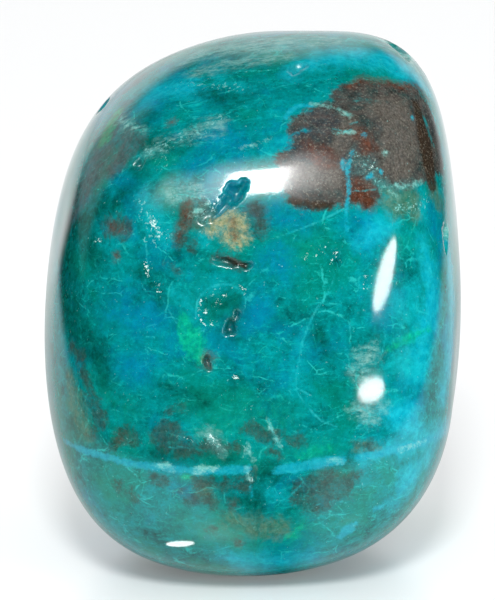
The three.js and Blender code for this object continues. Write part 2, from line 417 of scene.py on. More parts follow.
        "wedge": [[(388, 213, 0.6), (384, 224, 0.9), (396, 222, 0.7)]],
        "between the olives": [[(420, 190, 0.7), (424, 204, 0.9), (422, 216, 0.8)]],
        "drusy left": [[(144, 198, 0.9), (150, 214, 1.3), (160, 230, 1.4), (168, 242, 0.9)]],
        "long curve's band": [[(309, 322, 0.12), (303, 342, 0.2), (299, 362, 0.2), (296, 382, 0.14)]],
        "pale green": [[(172, 291, 0.4), (180, 297, 0.6), (188, 300, 0.4)]],
        "beside the right glint": [[(410, 290, 1.4), (406, 312, 1.4), (400, 300, 1)]],
        "beside the low glint": [[(400, 360, 1.4), (414, 372, 1.2)]],
        "under the vein": [[(272, 494, 0.7), (288, 500, 0.7)]],
        "top speckle": [[(232, 84, 0.8), (214, 76, 0.8), (250, 90, 0.6)]],
        "over the tan": [[(200, 236, 0.6), (206, 244, 0.5)]],
        "bowl's rim": [
            [(195, 318, 0.2), (197, 302, 0.35), (207, 289, 0.4), (222, 284, 0.4), (238, 286, 0.3)],
        ],
        "left of the brown": [[(268, 144, 0.6), (282, 140, 0.6), (266, 152, 0.8)]],
    },
    "tan": {
        "patch": [[(214, 228, 0.8), (226, 220, 1.1), (237, 224, 1.2), (238, 238, 1.1), (228, 236, 1)]],
    },
    "fog": {
        "top": [
            [(180, 66, 0.9), (204, 54, 1.4), (232, 48, 1.9), (262, 44, 2.2), (298, 42, 2.2), (330, 40, 1.6)],
            [(196, 72, 0.9), (222, 66, 1.2), (256, 60, 1.2), (284, 56, 0.8)],
        ],
        "wisps": [
            [(172, 142, 0.6), (184, 140, 0.8), (198, 132, 1.2), (212, 126, 1.1), (222, 121, 0.6)],
            [(162, 146, 0.5), (150, 150, 0.4)],
        ],
        "by the low glint": [
            [(372, 352, 0.8), (364, 362, 1), (360, 372, 0.8)],
            [(360, 408, 0.8), (370, 416, 1.2), (380, 408, 0.8)],
        ],
        # Painted highlight: the pale beside the highlight is its glow
        "painted glow beside the highlight": [[(176, 194, 0.9), (194, 190, 1)]],
        "filament": [[(120, 118, 0.4), (128, 126, 0.4), (142, 131, 0.25)]],
        "over the vein": [[(208, 436, 0.3), (218, 444, 0.3), (224, 452, 0.2)]],
        # Painted reflection: the shoulder chip on the top right outline is painted pale, standing in for the
        # white gloss of the rim there
        "top right": [[(372, 40, 0.7), (398, 52, 0.8), (418, 70, 0.7)]],
    },
    "slate": {
        "brown's druse": [
            [(352, 150, 0.4), (359, 160, 1.1), (366, 170, 1.5), (376, 180, 1.2), (388, 184, 0.6)],
        ],
        "olive's edge": [[(396, 188, 0.5), (412, 184, 0.6)]],
        "beside the tan": [[(206, 214, 0.6), (200, 222, 0.6)]],
        "over the vein": [[(212, 440, 0.6), (220, 450, 0.5)]],
    },
    "druse": {
        "left": [[(140, 200, 0.7), (146, 216, 0.9), (156, 226, 1.2), (166, 236, 1), (148, 238, 0.9)]],
        "left column": [[(146, 260, 0.4), (148, 272, 0.4)]],
        "sparks": [[(157, 284, 0.5), (160, 292, 0.4)]],
        "vug's edge": [[(218, 196, 0.8), (210, 206, 0.9), (202, 218, 0.9)]],
        "bowl": [[(208, 298, 0.7), (216, 292, 0.6), (206, 318, 0.5)]],
        "right flecks": [[(306, 256, 0.3), (318, 252, 0.4), (334, 254, 0.3)]],
        "brown's druse": [[(356, 156, 0.9), (366, 164, 1.2), (378, 176, 1.2)]],
        "olive's druse": [[(392, 210, 0.8), (412, 206, 1), (428, 198, 1)]],
        "wisps": [[(184, 138, 0.9), (204, 128, 1.1), (220, 120, 0.8)]],
        "left ticks": [[(150, 150, 1), (164, 146, 1), (160, 168, 0.8)]],
        "middle flecks": [[(236, 378, 0.5)]],
        "over the vein": [[(208, 436, 0.5), (222, 448, 0.5)], [(246, 452, 0.7), (249, 446, 0.5)]],
        "left spot": [[(98, 240, 0.6)]],
        "top": [[(186, 84, 0.8), (240, 88, 1)]],
    },
    # glint: painted highlights, the white sparkle of the druse painted into the colour
    "glint": {
        "bowl": [
            [(204, 310, 0.3), (205, 312, 0.3)], [(201, 319, 0.3), (202, 321, 0.3)],
            [(211, 320, 0.25), (212, 325, 0.25)], [(205, 326, 0.2), (198, 315, 0.2), (201, 300, 0.25)],
            [(223, 297, 0.3), (226, 293, 0.25)], [(238, 286, 0.25), (244, 289, 0.35), (244, 293, 0.25)],
            [(223, 306, 0.2), (216, 302, 0.15)],
        ],
        "column": [[(145, 262, 0.2), (147, 270, 0.3), (147, 276, 0.2)]],
        "sparks": [[(157, 285, 0.3), (158, 288, 0.25), (160, 293, 0.2)]],
        "flecks": [
            [(304, 260, 0.2), (309, 250, 0.2)], [(312, 258, 0.15), (322, 253, 0.25)],
            [(330, 265, 0.2), (336, 252, 0.2), (338, 256, 0.15)], [(318, 248, 0.2), (326, 247, 0.15)],
        ],
        "by the right glint": [[(366, 275, 0.25), (364, 288, 0.2), (371, 288, 0.15), (373, 263, 0.2)]],
        "middle": [[(235, 377, 0.3), (238, 378, 0.25)]],
        "vug's edge": [[(214, 205, 0.2), (219, 199, 0.2), (211, 212, 0.2)]],
        "drusy left": [[(150, 222, 0.2), (156, 229, 0.22), (160, 236, 0.18), (150, 212, 0.15)]],
        "left spot": [[(98, 241, 0.3), (101, 239, 0.2)]],
        "left dot": [[(127, 283, 0.15)]],
        "over the vein": [[(210, 436, 0.2), (220, 447, 0.15), (174, 434, 0.12), (176, 433, 0.15)]],
        "brown": [[(356, 154, 0.12), (362, 156, 0.1)], [(372, 166, 0.12), (377, 174, 0.1)]],
        "olive": [[(404, 202, 0.1), (406, 207, 0.1)], [(414, 207, 0.12)]],
    },
    "vein": {
        "main": [
            [(64, 440, 0.25), (76, 447, 0.4), (96, 454, 0.45), (118, 460, 0.42), (140, 465, 0.4),
             (160, 467, 0.45), (184, 470, 0.45), (204, 472, 0.4), (224, 470, 0.5), (250, 469, 0.45)],
            [(274, 472, 0.3), (284, 469, 0.55), (304, 466, 0.6), (324, 462, 0.65), (342, 460, 0.55)],
            [(358, 457, 0.4), (374, 455, 0.45), (392, 450, 0.5), (410, 446, 0.5), (428, 440, 0.45),
             (446, 431, 0.4), (460, 423, 0.3)],
        ],
        "upright": [
            [(352, 152, 0.16), (349, 162, 0.26), (347, 174, 0.24), (349, 186, 0.14), (348, 200, 0.2),
             (346, 214, 0.14), (347, 230, 0.1)],
            [(343, 160, 0.2), (344, 168, 0.34)],
        ],
        "knot's drop": [[(250, 484, 0.12), (252, 496, 0.06)]],
        "brown's arc": [
            [(285, 118, 0.2), (289, 112, 0.32), (296, 107, 0.36), (305, 105, 0.3), (313, 106, 0.12)],
        ],
        "brown's spots": [
            [(364, 134, 0.3)], [(413, 118, 0.3)], [(381, 172, 0.34)], [(371, 175, 0.3), (366, 178, 0.2)],
        ],
        "low spots": [
            [(375, 509, 0.4), (381, 507, 0.4)], [(341, 536, 0.5), (348, 530, 0.8), (355, 524, 0.45)],
        ],
    },
    "cream": {
        "vein's knots": [
            [(156, 464, 0.2), (166, 466, 0.35), (174, 469, 0.2)],
            [(197, 472, 0.2), (206, 469, 0.45), (216, 468, 0.3)],
            [(247, 468, 0.2), (249, 474, 0.35), (251, 483, 0.25)],
            [(328, 462, 0.2), (336, 461, 0.4), (342, 462, 0.25)],
        ],
        "vein's right end": [[(398, 450, 0.06), (412, 446, 0.08), (426, 441, 0.06)]],
        "over the vein": [
            [(208, 436, 0.12), (214, 440, 0.14), (221, 447, 0.16), (227, 454, 0.1)],
            [(247, 443, 0.12), (249, 452, 0.16), (252, 460, 0.1)], [(243, 458, 0.08), (248, 452, 0.12)],
            [(268, 418, 0.02), (271, 428, 0.06), (276, 436, 0.05), (280, 446, 0.02)],
        ],
        "filament": [[(121, 120, 0.2), (128, 125, 0.35), (138, 130, 0.12)]],
        # Painted reflection: the shoulder chip and the pit on the right outline are painted pale, standing in
        # for the white gloss of the rim there
        "shoulder chip": [[(384, 38, 0.7), (396, 44, 1.2), (408, 52, 1)]],
        "right pit": [[(446, 232, 0.9)]],
        "arc's end": [
            [(311, 104, 0.2), (322, 106, 0.26), (331, 107, 0.2)],
            [(337, 108, 0.22), (344, 113, 0.3), (351, 118, 0.22)],
        ],
        "pale knob": [[(386, 155, 0.4)]],
        "brown's threads": [[(334, 130, 0.1), (342, 133, 0.12), (352, 131, 0.1)]],
        "olive's edge": [
            [(382, 187, 0.16), (396, 186, 0.22), (410, 185, 0.2), (422, 181, 0.12)],
            [(388, 190, 0.1), (396, 196, 0.12)],
        ],
        "scratch": [[(243, 148, 0.08), (256, 143, 0.1), (270, 138, 0.06)]],
        "vug's foot": [[(190, 216, 0.2), (200, 210, 0.35), (208, 204, 0.2)]],
    },
    "thread": {
        "long curve": [
            [(345, 236, 0.05), (340, 252, 0.06), (336, 272, 0.06), (328, 292, 0.08), (316, 310, 0.14),
             (309, 324, 0.12), (303, 342, 0.12), (299, 360, 0.1), (296, 378, 0.08), (297, 392, 0.08),
             (309, 408, 0.1), (320, 420, 0.08), (338, 427, 0.06)],
        ],
        "across": [[(345, 208, 0.12), (326, 218, 0.12), (306, 227, 0.1), (286, 234, 0.1), (268, 240, 0.06)]],
        "left curve": [
            [(158, 288, 0.05), (164, 302, 0.07), (172, 316, 0.08), (180, 328, 0.06)],
            [(148, 276, 0.06), (142, 286, 0.06), (150, 296, 0.06)],
        ],
        "left column": [[(146, 244, 0.1), (147, 258, 0.14), (148, 272, 0.1)]],
        "bowl's rim": [
            [(196, 318, 0.06), (197, 302, 0.1), (206, 290, 0.12), (222, 284, 0.12), (238, 288, 0.1),
             (246, 300, 0.08), (243, 314, 0.06)],
        ],
        "brown's threads": [
            [(350, 124, 0.14), (357, 122, 0.12)], [(332, 128, 0.08), (344, 132, 0.08), (352, 129, 0.08)],
        ],
        "pale line": [[(352, 191, 0.1), (364, 191, 0.1), (376, 189, 0.1)]],
        "right curve": [[(370, 404, 0.08), (390, 402, 0.08), (410, 396, 0.1), (426, 388, 0.1)]],
        "right line": [[(385, 330, 0.08), (384, 345, 0.1), (380, 358, 0.08)]],
        "scribbles": [
            [(352, 414, 0.08), (362, 408, 0.1), (372, 416, 0.1), (384, 410, 0.08)],
            [(356, 428, 0.08), (366, 420, 0.1), (376, 426, 0.1), (386, 420, 0.08)],
            [(366, 404, 0.08), (370, 416, 0.1), (366, 428, 0.08)],
        ],
        "low threads": [
            [(268, 418, 0.08), (272, 430, 0.1), (278, 442, 0.1), (284, 454, 0.08)],
            [(290, 496, 0.12), (298, 488, 0.12), (304, 482, 0.1)],
            [(165, 448, 0.1), (180, 447, 0.12), (192, 449, 0.1)],
        ],
        "under thread": [[(312, 508, 0.08), (330, 500, 0.1), (350, 504, 0.08)]],
        "right low": [[(392, 512, 0.12), (408, 506, 0.12)]],
        "ticks": [
            [(322, 311, 0.1), (330, 311, 0.1)], [(350, 322, 0.1), (350, 336, 0.1)],
            [(296, 388, 0.1), (312, 396, 0.1)],
        ],
    },
}

# What goes on over the hidden sides: such strokes again, through azimuths and elevations
hiddenMarks = {
    "jade": {
        "back": [[(-150, -14, 3), (-160, -20, 3), (-172, -18, 2.4)]],
        "left": [[(-84, -8, 2.4), (-94, -16, 2.8)]],
        "right": [[(88, 12, 2.4), (100, 18, 2.6)]],
        "back high": [[(140, 34, 2.4), (154, 44, 3)]],
        "under": [[(150, -50, 3.4), (-60, -50, 3)]],
    },
    "sky": {
        "back": [[(-150, 12, 2.4), (-140, 4, 2.2), (-136, -8, 1.8)]],
        "back high": [[(180, 56, 2.4), (160, 62, 2.6)]],
        "right": [[(78, 0, 1.8), (84, -12, 1.8)]],
        "left": [[(-76, 24, 1.8), (-84, 20, 1.6)]],
        "shoulder": [[(96, 52, 2), (112, 54, 2.2)]],
        "under": [[(60, -54, 2.6), (90, -48, 2.2)]],
    },
    "brown": {
        "shoulder, behind": [[(92, 30, 4), (110, 34, 4.4), (124, 22, 3)]],
        "back cloud": [[(200, 24, 4.2), (188, 30, 3.6), (176, 20, 2.6)], [(-146, 22, 1.2), (-140, 16, 0.8)]],
        "back foot": [[(160, -28, 1.6), (150, -24, 1)]],
    },
    "slate": {
        "back": [[(164, 14, 0.8), (170, 8, 1.4), (166, 2, 1)]],
        "left": [[(-102, 16, 1.4), (-110, 20, 1)]],
        "right": [[(86, 0, 1.2), (92, 4, 0.8)]],
    },
    "mauve": {
        "left cloud": [[(-88, 34, 3), (-104, 30, 3.4), (-118, 24, 2.6)]],
        "back": [[(146, 36, 1.4), (138, 28, 1.2)]],
    },
    "haze": {
        "back foot": [[(150, -22, 3.2), (164, -28, 2.6)]],
        "left foot": [[(-84, -30, 2.6), (-100, -34, 3)]],
        "right spots": [[(84, -18, 1.2)]],
        "right low": [[(96, -40, 2), (110, -36, 1.6)]],
        "crown": [[(30, 80, 1.8)]],
        "back spots": [[(-134, -10, 1), (-131, -14, 0.6)], [(140, 44, 1.6), (132, 50, 1)]],
        "by the back girdle": [
            [(130, -8, 0.9), (140, -6, 1.1), (148, -6, 0.5)], [(134, -20, 0.7), (144, -19, 0.5)],
        ],
        "back speckles": [
            [(-146, 4, 0.5), (-142, 0, 0.4)], [(-128, 16, 0.6), (-124, 12, 0.4)], [(-160, -6, 0.5)],
            [(-118, -4, 0.6), (-114, 0, 0.4)],
        ],
        "left speckles": [[(-76, 4, 0.5), (-80, 0, 0.4)], [(-92, 10, 0.6)]],
        "right speckles": [[(76, 10, 0.5), (80, 14, 0.4)], [(112, -12, 0.7), (118, -10, 0.4)]],
    },
    "ash": {
        "shoulder, behind": [[(104, 32, 2.4), (114, 28, 2)]],
        "back cloud": [[(-165, 26, 2.4)]],
    },
    "umber": {
        "back cloud's edge": [[(-150, 18, 1), (-160, 14, 1.2), (-172, 18, 0.8)]],
        "left foot": [[(-92, -34, 1.2)]],
    },
    "rust": {
        "shoulder's edge": [[(86, 42, 0.8), (100, 46, 0.9), (116, 42, 0.8)]],
        "back": [[(-172, 36, 0.9), (-160, 36, 0.9)]],
        "back foot": [[(156, -26, 1.2)]],
    },
    "moss": {
        "left": [[(-88, 4, 3), (-102, 0, 3.6), (-112, -12, 2.6)]],
        "back": [[(172, 2, 3), (158, -6, 3)]],
        "right": [[(96, 4, 2.4), (108, -6, 2.8)]],
        "under": [[(30, -66, 3), (-60, -62, 3), (170, -62, 4)]],
        "crown": [[(-60, 70, 2), (160, 76, 2.6)]],
    },
    "leaf": {
        "back": [
            [(-146, -24, 0.9), (-140, -28, 1.2), (-136, -26, 0.6)], [(-150, -16, 0.5), (-156, -18, 0.3)],
        ],
        "right": [[(82, 10, 0.8), (88, 14, 1.1), (92, 12, 0.5)]],
        "left": [[(-82, -16, 0.5), (-90, -20, 0.8)]],
        "back high": [[(150, 32, 0.8), (154, 36, 0.5)]],
    },
    "olive": {
        "right": [[(76, 26, 2), (84, 22, 1.8)]],
        "back": [[(-178, -30, 2.6), (-166, -36, 2)]],
    },
    "azure": {
        "back": [[(-168, -6, 3.6), (-154, -2, 3), (-142, 18, 2.6)]],
        "back high": [[(176, 46, 3.6), (-170, 56, 3)]],
        "left": [[(-74, 18, 2.6), (-82, 12, 2.4), (-118, 14, 3)]],
        "right": [[(74, -6, 2.6), (86, -10, 2.8), (116, 6, 3)]],
        "back low": [[(132, -16, 2.6), (140, -30, 2.4)]],
        "crown": [[(90, 78, 3), (-140, 76, 3.2)]],
        "under": [[(100, -60, 3.6), (-110, -56, 3.6)]],
    },
    "aqua": {
        "back": [[(144, 10, 2), (150, 4, 1.6)]],
        "left": [[(-108, -24, 1.6)]],
        "right": [[(98, -16, 1.6), (104, -10, 1.2)]],
        "back spots": [[(-150, 34, 1)]],
    },
    "tan": {
        "back": [[(-178, 12, 1.6), (-172, 8, 1.4)]],
    },
    "fog": {
        "crown": [[(-120, 70, 3), (-20, 76, 2), (60, 70, 2)]],
        "back": [[(128, 20, 1), (134, 26, 1.4), (140, 26, 1)]],
        # Painted reflection: the chips and pits on the outline are painted pale, standing in for the white
        # gloss of the rim around them
        "shoulder chip": [[(104, 58, 1), (110, 56, 1.6), (116, 54, 1)]],
        "lower shoulder chip": [[(112, 49, 1.3)]],
        "right pit": [[(72, 20, 1.2)]],
        "left pits": [[(-112, 48, 1.3)]],
        "left pit": [[(-98, -6, 0.9)]],
    },
    "druse": {
        "back": [[(170, 12, 1.6), (162, 8, 1.4)]],
        "back vug": [[(172, 26, 1.6), (162, 36, 1.4)]],
        "left": [[(-104, 14, 1.6), (-112, 20, 1.4)]],
        "right": [[(90, 2, 1.4), (82, -4, 1.4)]],
    },
    # glint: painted highlights, the white sparkle of the druse painted into the colour
    "glint": {
        "back vug": [[(172, 28, 0.4), (168, 26, 0.3)]],
        "back": [[(166, 10, 0.4), (163, 6, 0.3)]],
        "left": [[(-104, 16, 0.3), (-108, 18, 0.3)]],
        "right": [[(88, 2, 0.3), (84, 0, 0.3)]],
    },
    "vein": {
        "girdle": [
            [(70, -26, 0.45), (84, -23, 0.5), (98, -22, 0.45), (112, -20, 0.5), (126, -15, 0.4),
             (140, -12, 0.5), (152, -12, 0.35), (164, -15, 0.2)],
            [(-60, -24, 0.3), (-74, -24, 0.4), (-88, -21, 0.35), (-104, -20, 0.4), (-118, -22, 0.4),
             (-132, -25, 0.35), (-146, -24, 0.3), (-160, -20, 0.35), (-174, -19, 0.2)],
        ],
        "back upright": [[(176, 48, 0.2), (180, 36, 0.35), (184, 24, 0.3), (182, 10, 0.35), (176, -4, 0.15)]],
    },
    "cream": {
        "back knot": [[(182, 12, 0.5), (184, 8, 0.3)]],
        # Painted reflection: the chips and the pit on the outline are painted pale, standing in for the white
        # gloss of the rim around them
        "shoulder chip": [[(104, 58, 1.2), (110, 56, 1.8), (116, 54, 1.2)]],
        "lower shoulder chip": [[(112, 49, 1.3)]],
        "high left pit": [[(-112, 48, 1.4)]],
        "girdle knots": [[(84, -23, 0.4), (88, -22, 0.3)]],
        "left knot": [[(-88, -21, 0.4), (-92, -21, 0.3)]],
        "back wisps": [[(134, 26, 0.4), (142, 24, 0.3), (150, 26, 0.2)]],
        "back vug's rim": [[(176, 36, 0.3), (178, 30, 0.4), (174, 24, 0.3)]],
        "upright's knots": [[(183, 30, 0.4), (184, 18, 0.5), (180, 2, 0.4)]],
        "left girdle's knots": [[(-66, -24, 0.3), (-112, -21, 0.5), (-124, -24, 0.3)]],
    },
    "thread": {
        "back": [
            [(160, 50, 0.14), (150, 36, 0.16), (146, 22, 0.14), (150, 8, 0.16), (146, -6, 0.12)],
            [(-178, 8, 0.14), (-164, 4, 0.14), (-150, 6, 0.12), (-138, 2, 0.12)],
            [(-150, 50, 0.12), (-144, 36, 0.14), (-148, 24, 0.12)],
            [(-130, 30, 0.1), (-134, 16, 0.14), (-128, 2, 0.12), (-134, -12, 0.1)],
            [(-164, 4, 0.1), (-168, -10, 0.12), (-160, -24, 0.1)],
            [(-150, -8, 0.1), (-140, -18, 0.12), (-126, -20, 0.1)],
            [(164, -8, 0.1), (156, -18, 0.12), (144, -26, 0.1)],
            [(-176, 56, 0.1), (-168, 46, 0.12), (-156, 42, 0.1)],
        ],
        "left": [[(-70, 40, 0.12), (-84, 30, 0.14), (-98, 22, 0.12), (-112, 8, 0.12)]],
        "right": [
            [(80, 20, 0.12), (90, 6, 0.14), (94, -8, 0.14), (104, -18, 0.12)],
            [(94, 6, 0.1), (108, 12, 0.12), (122, 10, 0.12)],
        ],
        "crown": [[(-80, 66, 0.12), (-120, 76, 0.14), (140, 78, 0.12), (110, 66, 0.12)]],
    },
}

strokeStep = 9  # pixels, or degrees, between the points that a stroke is smoothed into
farthest = 1.5  # mm from a stroke's edge that its level is kept to
hiddenFade = 8  # how fast a stroke of the hidden sides ends where the photograph takes over


# A smooth curve through a stroke's points
def smoothed(stroke):
    knots = [np.array(point, float) for point in stroke]
    if len(knots) == 1:
        return knots * 2
    knots = [2 * knots[0] - knots[1]] + knots + [2 * knots[-1] - knots[-2]]
    curve = []
    for before, start, end, after in zip(knots, knots[1:], knots[2:], knots[3:]):
        steps = max(1, round(np.linalg.norm((end - start)[:2]) / strokeStep))
        for t in np.arange(steps) / steps:
            bend = 2 * before - 5 * start + 4 * end - after + t * (3 * start - before - 3 * end + after)
            curve.append(start + 0.5 * t * (end - before + t * bend))
    return curve + [knots[-2]]


# How far inside a stroke's edge each point of the stone is, in mm
def strokeLevel(stroke, placeOf):
    curve = smoothed(stroke)
    places = [np.array(placeOf(*point[:2])) for point in curve]
    widths = [point[2] for point in curve]
    level = np.full(len(points), -farthest)
    for start, end, wide, wideEnd in zip(places, places[1:], widths, widths[1:]):
        step = end - start
        along = np.clip((points - start) @ step / max(step @ step, 1e-9), 0, 1)  # a dot has no length
        away = np.linalg.norm(points - start - along[:, None] * step, axis=1)
        level = np.maximum(level, (wide + along * (wideEnd - wide)) / 2 - away)
    return level


facing = blockNormals(directions) @ np.array(back)
levels = {}
for kind in seenMarks:
    level = np.full(len(points), -farthest)
    for stroke in sum(seenMarks[kind].values(), []):
        level = np.maximum(level, strokeLevel(stroke, seenAt))
    for stroke in sum(hiddenMarks[kind].values(), []):
        level = np.maximum(level, np.minimum(strokeLevel(stroke, onBlock), -hiddenFade * facing))
    levels[kind] = np.minimum(level, farthest)
print("marks:", len(levels), "kinds")

bmesh.ops.scale(form, vec=(mm, mm, mm), verts=form.verts)
bmesh.ops.translate(form, vec=(0, 0, stone["middleHeight"] * mm), verts=form.verts)
stoneMesh = bpy.data.meshes.new("polished_stone")
form.to_mesh(stoneMesh)
form.free()
for name, values in {**levels, "pit": inPit}.items():
    stoneMesh.attributes.new(name, "FLOAT", "POINT").data.foreach_set("value", values.astype(np.float32))
polishedStone = bpy.data.objects.new("polished_stone", stoneMesh)
bpy.context.scene.collection.objects.link(polishedStone)


# Chrysocolla, tumbled and polished: cloudy copper blues and greens with brown ironstone, under a wet gloss
finish = {
    "ior": 1.5,  # chrysocolla is 1.46 to 1.57, the quartz in it 1.54
    "polish": 0.085,  # roughness of the tumbled surface
    "duller": {"pit": 0.18, "brown": 0.05, "crumb": 0.12},  # what these add to it
    "pitEdge": (-0.2, 0.04),  # mm inside a pit's rim between which it turns dull
    # Bent places, so that nothing drawn there runs straight: mm from bend to bend, mm it pushes, and detail
    "bends": {"slow": (4.0, 1.6, 2.0), "quick": (0.9, 0.45, 3.0), "kinked": (1.4, 0.8, 4.0)},
    # Places combed one way: what they are made from, their turn in degrees, and a grain's width as a share of
    # its length
    "combed": {
        "strands": ("quick", (0, 12, 0), 0.22),
        "crossStrands": ("quick", (10, -50, 40), 0.25),
        "fissures": ("kinked", (0, 20.05, 0), 0.6),
        "crossFissures": ("kinked", (0, -60.16, 29.79), 0.6),
    },
    # Noises that draw it: the place they are read at, mm from patch to patch, detail and roughness
    "noises": {
        "clouds": ("slow", 3.0, 10.0, 0.62),
        "mottle": ("quick", 0.6, 6.0, 0.72),
        "hue": ("slow", 4.2, 8.0, 0.62),
        "strands": ("strands", 0.32, 5.0, 0.7),
        "crossStrands": ("crossStrands", 0.34, 5.0, 0.7),
        "grain": ("true", 0.15, 3.0, 0.7),  # real grains are finer than the picture shows
        "specks": ("quick", 0.45, 6.0, 0.8),
        "drifts": ("slow", 1.4, 5.0, 0.8),
        "crumbs": ("true", 0.22, 2.5, 0.75),
        "glints": ("true", 0.15, 3.0, 0.8),
    },
    # How much of each noise is in the base's depth, the stretch of depth that the tones fill, and the tones
    "depth": {"mottle": 0.36, "clouds": 0.38, "strands": 0.13, "crossStrands": 0.13},
    "depthRange": (0.36, 0.65),
    "tones": ((0.0, "#00403e"), (0.25, "#006261"), (0.45, "#007675"), (0.62, "#008284"), (0.8, "#008c90"),
              (1.0, "#0aa5a4")),
    # Coats over the base: colour, noise, the levels of it where the coat starts and is full, and strength
    "stretches": {
        "bluer": ("#007796", "hue", 0.52, 0.64, 0.5),
        "greener": ("#007a63", "hue", 0.49, 0.38, 0.5),
    },
    "streaks": {
        "strands": ("#0aa9a2", "strands", 0.57, 0.72, 0.5),
        "crossed strands": ("#0aa9a2", "crossStrands", 0.58, 0.74, 0.5),
        "pale grains": ("#10adaa", "grain", 0.56, 0.7, 0.35),
        "dark grains": ("#005553", "grain", 0.42, 0.3, 0.4),
        "dark specks": ("#003f3a", "specks", 0.41, 0.3, 0.7),
    },
    "ironGrain": {
        "pale": ("#8d897c", "grain", 0.54, 0.68, 0.4),
        "dark": ("#2c211d", "grain", 0.44, 0.32, 0.5),
    },
    # Fissures healed with paler stone: mm between them, half their width (mm), colour and strength
    "fissures": {"fissures": (2.1, 0.029, "#26bdb6", 0.62), "crossFissures": (1.1, 0.033, "#18b0a2", 0.48)},
    "driftRange": (0.48, 0.6),  # levels between which a drift of fissures sets in
    "cracks": (1.1, 0.06, "#271b16", 0.5),  # in the ironstone, told as the fissures are
    # In every mineral: the noises that fray its edge, mix its two colours and thin it, and their levels
    "fray": {"Detail": 9.0, "Roughness": 0.78},
    "frayFinest": 0.3,  # mm, the least stray that the fraying noise is sized for
    "frayScale": 0.7,  # patches of it in one such stray
    "frayReach": 3.2,  # how far a full swing of the noise moves the edge, in strays
    "mixing": {"Detail": 5.0, "Roughness": 0.7},
    "mixingRange": (0.36, 0.64),
    "thinning": {"Scale": 1.7, "Detail": 6.0, "Roughness": 0.8},
    "thinningRange": (0.38, 0.58),
    "combedBelow": 0.3,  # a mineral that thins to less than this follows the strands
    "apart": (7.3, -4.1, 2.9),  # mm between one mineral's noises and the next, so that no two stray alike
    # Druse: how far the mottle breaks it up, and the levels between which it grows
    "druse": (2.4, 0.9, 1.7),
    # Its crumbs: how much druse helps them, the levels between which they grow, how much they cover, colour
    "crumbs": (0.13, 0.66, 0.78, 0.55, "#7fc9c4"),
    # Its glints: mm inside a stroke's edge between which they set in, how much that and the druse help them,
    # and then as for the crumbs
    "glints": (-0.14, 0.12, 0.22, 0.08, 0.75, 0.8, 0.9, "#d2f2ec"),
    "relief": (0.6, 0.1, 0.02),  # the grain's share beside the mottle, its strength, and its height in mm
    "crumbRelief": 0.4,  # the crumbs' strength
}

# The minerals that lie over the base, in order: two colours, how far the edge strays and how softly it fades
# (mm), the size of its grain (mm), how much of the base it covers, and what is left of that where it is thin
minerals = {
    "jade": ("#006e5c", "#0a9379", 1.3, 2.2, 0.5, 0.55, 0.5),
    "azure": ("#006a93", "#0086a8", 1.2, 2.0, 0.5, 0.7, 0.5),
    "sky": ("#009cb4", "#1cbccc", 1.2, 1.8, 0.4, 0.8, 0.65),
    "moss": ("#00352c", "#00584a", 1.0, 1.4, 0.4, 0.85, 0.6),
    "aqua": ("#00929c", "#10b4ba", 0.9, 1.0, 0.3, 0.65, 0.5),
    # mauve: grey stone, and painted reflection on the left shoulder
    "mauve": ("#3d3839", "#5a5355", 1.1, 1.4, 0.3, 0.7, 0.7),
    "leaf": ("#008866", "#0cc08c", 0.7, 0.6, 0.3, 0.75, 0.6),
    "olive": ("#335540", "#617a61", 0.8, 0.8, 0.3, 0.7, 0.5),
    # fog: milky stone, and the highlight's painted glow beside it and painted reflection in the chips and
    # pits on the outline
    "fog": ("#4f9a99", "#8fbdb4", 1.0, 1.1, 0.25, 0.6, 0.1),
    "haze": ("#192c26", "#3e4439", 0.9, 0.5, 0.22, 0.7, 0.5),
    "brown": ("#2c2220", "#524540", 0.8, 0.5, 0.7, 0.92, 0.9),
    # ash: grey ironstone, and the highlight's painted glow under its right end
    "ash": ("#444039", "#68645d", 0.6, 0.7, 0.18, 0.8, 0.7),
    "umber": ("#201810", "#3e3022", 0.3, 0.35, 0.3, 0.9, 0.9),
    "slate": ("#2a4646", "#4f7b78", 0.6, 0.7, 0.2, 0.75, 0.6),
    "tan": ("#6f7a52", "#b5ac80", 0.7, 0.8, 0.25, 0.85, 0.4),
    "rust": ("#3f1f13", "#6b3d2a", 0.6, 0.8, 0.25, 0.75, 0.5),
    "vein": ("#008ea6", "#1fa9b8", 0.26, 0.22, 0.3, 0.85, 0.7),
    # cream: pale knots and threads, and painted reflection in the shoulder chip and the pits on the outline
    "cream": ("#4fb5ae", "#9ad2c8", 0.5, 0.3, 0.15, 0.7, 0.2),
    "thread": ("#069aa6", "#35c3c2", 0.1, 0.1, 0.5, 0.55, 0.4),
}


